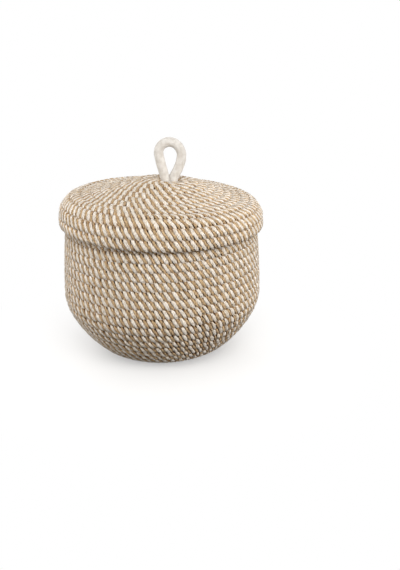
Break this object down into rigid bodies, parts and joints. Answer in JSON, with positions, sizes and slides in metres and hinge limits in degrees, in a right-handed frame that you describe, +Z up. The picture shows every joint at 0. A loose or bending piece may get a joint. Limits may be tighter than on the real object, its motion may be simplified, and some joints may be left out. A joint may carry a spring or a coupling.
{
  "type": "lidded coiled cord basket",
  "caption": "Round storage basket coiled from twisted two-tone cord, with a bowl-shaped base, a domed cap lid that lifts off and a soft cord loop to lift it by.",
  "frame": {"origin": "centre of the base, on the surface it stands on", "axes": "+Z up along the basket's axis, -Y toward the side in the picture, +X to that side's right"},
  "size_m": [0.1952, 0.1959, 0.2122],
  "materials": {
    "body_cord": "matt twisted cord of white cotton and tan plant-fibre strands",
    "lid_cord": "matt twisted cord of white cotton and tan plant-fibre strands",
    "loop_cord": "soft matt cream cotton cord"
  },
  "bodies": {
    "basket": {"body_coil": "body_cord"},
    "lid": {"lid_coil": "lid_cord", "lid_loop": "loop_cord"}
  },
  "joints": [
    {"name": "lid_lift", "type": "slide", "parent": "basket", "child": "lid", "axis": [0, 0, 1], "range_m": [0, 0.12]}
  ]
}
